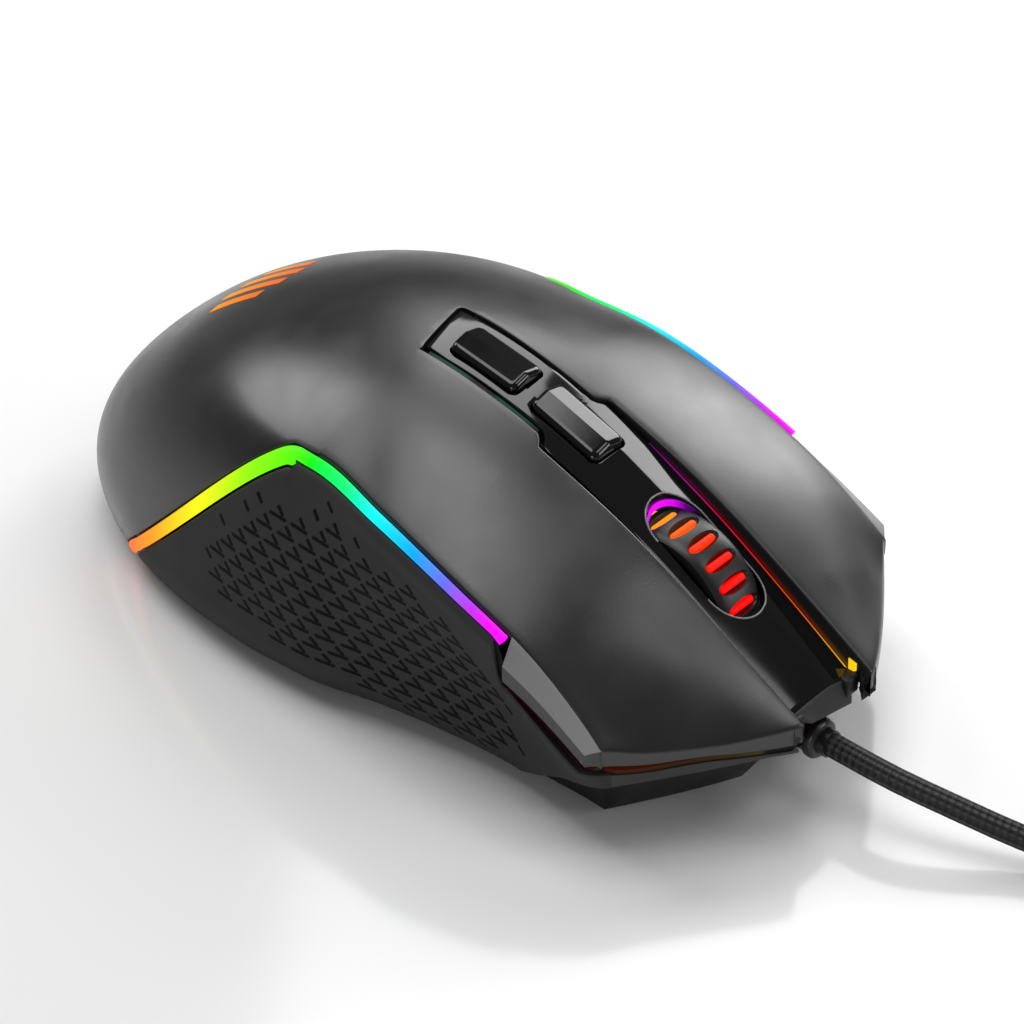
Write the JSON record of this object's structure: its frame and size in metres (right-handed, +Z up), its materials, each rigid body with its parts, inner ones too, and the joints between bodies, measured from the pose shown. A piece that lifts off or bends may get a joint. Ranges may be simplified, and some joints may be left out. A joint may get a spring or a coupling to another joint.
{
  "type": "computer mouse",
  "caption": "Wired optical mouse with flexing main buttons, lit scroll wheel, mode and thumb buttons, light strips along its sides, textured grips and a coiled cable with a plug.",
  "frame": {"origin": "on the desk under the middle of the body's box, measured without the cable", "axes": "+Y towards the nose and the cable, +X towards the user's right, +Z up"},
  "size_m": [0.1025, 0.2022, 0.0443],
  "materials": {
    "soft_black": "soft-touch satin",
    "gloss_black": "polished",
    "dark_plastic": "fine matte",
    "grey_trim": "satin",
    "grip_rubber": "zigzag relief",
    "tyre_rubber": "satin",
    "light_guide": "translucent, lit",
    "lit_core": "translucent, lit",
    "board_green": "circuit board",
    "chip_black": "moulded",
    "frame_plastic": "moulded",
    "plunger_plastic": "moulded",
    "glide": "slick glide",
    "steel": "plated",
    "braid": "woven braid",
    "clear_lens": "clear",
    "strap_cloth": "hook and loop strap"
  },
  "bodies": {
    "body": {"back_thumb_switch": "chip_black", "base_plate": "dark_plastic", "cable": "braid", "cable_coil": "braid", "cable_connector": "frame_plastic", "cable_tie": "strap_cloth", "centre_frame": "frame_plastic", "centre_insert": "gloss_black", "controller_chip": "chip_black", "dpi_board": "board_green", "dpi_front_switch": "chip_black", "dpi_rear_switch": "chip_black", "encoder": "chip_black", "forward_thumb_switch": "chip_black", "front_foot": "glide", "left_bumper": "dark_plastic", "left_front_light": "light_guide", "left_grip_panel": "grip_rubber", "left_lamp": "clear_lens", "left_light_strip": "light_guide", "left_rear_screw": "steel", "left_switch": "chip_black", "main_board": "board_green", "palm_lamp": "clear_lens", "palm_light_window": "lit_core", "palm_shell": "soft_black", "plug_body": "dark_plastic", "plug_shell": "steel", "rear_foot": "glide", "right_bumper": "dark_plastic", "right_front_light": "light_guide", "right_grip_panel": "grip_rubber", "right_lamp": "clear_lens", "right_light_strip": "light_guide", "right_rear_screw": "steel", "right_switch": "chip_black", "sensor_chip": "chip_black", "sensor_lens": "clear_lens", "side_board": "board_green", "strain_relief": "tyre_rubber", "wheel_switch": "chip_black"},
    "left_button": {"left_button": "soft_black", "left_trim_cap": "grey_trim"},
    "left_plunger": {"left_switch_plunger": "plunger_plastic"},
    "right_button": {"right_button": "soft_black", "right_trim_cap": "grey_trim"},
    "right_plunger": {"right_switch_plunger": "plunger_plastic"},
    "cradle": {"wheel_cradle": "frame_plastic"},
    "wheel": {"wheel_hub": "lit_core", "wheel_tyre": "tyre_rubber"},
    "wheel_plunger": {"wheel_switch_plunger": "plunger_plastic"},
    "dpi_rear": {"dpi_rear_button": "gloss_black"},
    "dpi_rear_plunger": {"dpi_rear_switch_plunger": "plunger_plastic"},
    "dpi_front": {"dpi_front_button": "gloss_black"},
    "dpi_front_plunger": {"dpi_front_switch_plunger": "plunger_plastic"},
    "forward_thumb": {"forward_thumb_button": "dark_plastic"},
    "forward_thumb_plunger": {"forward_thumb_switch_plunger": "plunger_plastic"},
    "back_thumb": {"back_thumb_button": "dark_plastic"},
    "back_thumb_plunger": {"back_thumb_switch_plunger": "plunger_plastic"}
  },
  "joints": [
    {"name": "left_button_press", "type": "hinge", "parent": "body", "child": "left_button", "pos_m": [-0.015, -0.0052, 0.0405], "axis": [-1, 0, 0], "range_deg": [0, 0.5], "stiffness_Nm_per_rad": 2.3, "springref_deg": -0.11},
    {"name": "left_plunger_slide", "type": "slide", "parent": "body", "child": "left_plunger", "axis": [0, 0, -1], "range_m": [0, 0.00038]},
    {"name": "right_button_press", "type": "hinge", "parent": "body", "child": "right_button", "pos_m": [0.015, -0.0052, 0.0405], "axis": [-1, 0, 0], "range_deg": [0, 0.5], "stiffness_Nm_per_rad": 2.3, "springref_deg": -0.11},
    {"name": "right_plunger_slide", "type": "slide", "parent": "body", "child": "right_plunger", "axis": [0, 0, -1], "range_m": [0, 0.00038]},
    {"name": "wheel_click", "type": "hinge", "parent": "body", "child": "cradle", "pos_m": [0, 0.019, 0.0098], "axis": [-1, 0, 0], "range_deg": [0, 1.5], "stiffness_Nm_per_rad": 0.9, "springref_deg": -0.23},
    {"name": "wheel_turn", "type": "hinge", "parent": "cradle", "child": "wheel", "pos_m": [0, 0.0353, 0.01954], "axis": [-1, 0, 0], "continuous": true},
    {"name": "wheel_plunger_slide", "type": "slide", "parent": "body", "child": "wheel_plunger", "axis": [0, 0, -1], "range_m": [0, 0.0009]},
    {"name": "dpi_rear_press", "type": "slide", "parent": "body", "child": "dpi_rear", "axis": [0, 0, -1], "range_m": [0, 0.0005], "stiffness_N_per_m": 3000, "springref_m": -0.00005},
    {"name": "dpi_rear_plunger_slide", "type": "slide", "parent": "body", "child": "dpi_rear_plunger", "axis": [0, 0, -1], "range_m": [0, 0.0005]},
    {"name": "dpi_front_press", "type": "slide", "parent": "body", "child": "dpi_front", "axis": [0, 0, -1], "range_m": [0, 0.0005], "stiffness_N_per_m": 3000, "springref_m": -0.00005},
    {"name": "dpi_front_plunger_slide", "type": "slide", "parent": "body", "child": "dpi_front_plunger", "axis": [0, 0, -1], "range_m": [0, 0.0005]},
    {"name": "forward_thumb_press", "type": "slide", "parent": "body", "child": "forward_thumb", "axis": [1, 0, 0], "range_m": [0, 0.0006], "stiffness_N_per_m": 2500, "springref_m": -0.00005},
    {"name": "forward_thumb_plunger_slide", "type": "slide", "parent": "body", "child": "forward_thumb_plunger", "axis": [1, 0, 0], "range_m": [0, 0.0006]},
    {"name": "back_thumb_press", "type": "slide", "parent": "body", "child": "back_thumb", "axis": [1, 0, 0], "range_m": [0, 0.0006], "stiffness_N_per_m": 2500, "springref_m": -0.00005},
    {"name": "back_thumb_plunger_slide", "type": "slide", "parent": "body", "child": "back_thumb_plunger", "axis": [1, 0, 0], "range_m": [0, 0.0006]}
  ],
  "couplings": [
    {"joint": "left_plunger_slide", "follows": "left_button_press", "m_per_rad": 0.0392},
    {"joint": "right_plunger_slide", "follows": "right_button_press", "m_per_rad": 0.0392},
    {"joint": "wheel_plunger_slide", "follows": "wheel_click", "m_per_rad": 0.03},
    {"joint": "dpi_rear_plunger_slide", "follows": "dpi_rear_press", "ratio": 1},
    {"joint": "dpi_front_plunger_slide", "follows": "dpi_front_press", "ratio": 1},
    {"joint": "forward_thumb_plunger_slide", "follows": "forward_thumb_press", "ratio": 1},
    {"joint": "back_thumb_plunger_slide", "follows": "back_thumb_press", "ratio": 1}
  ]
}
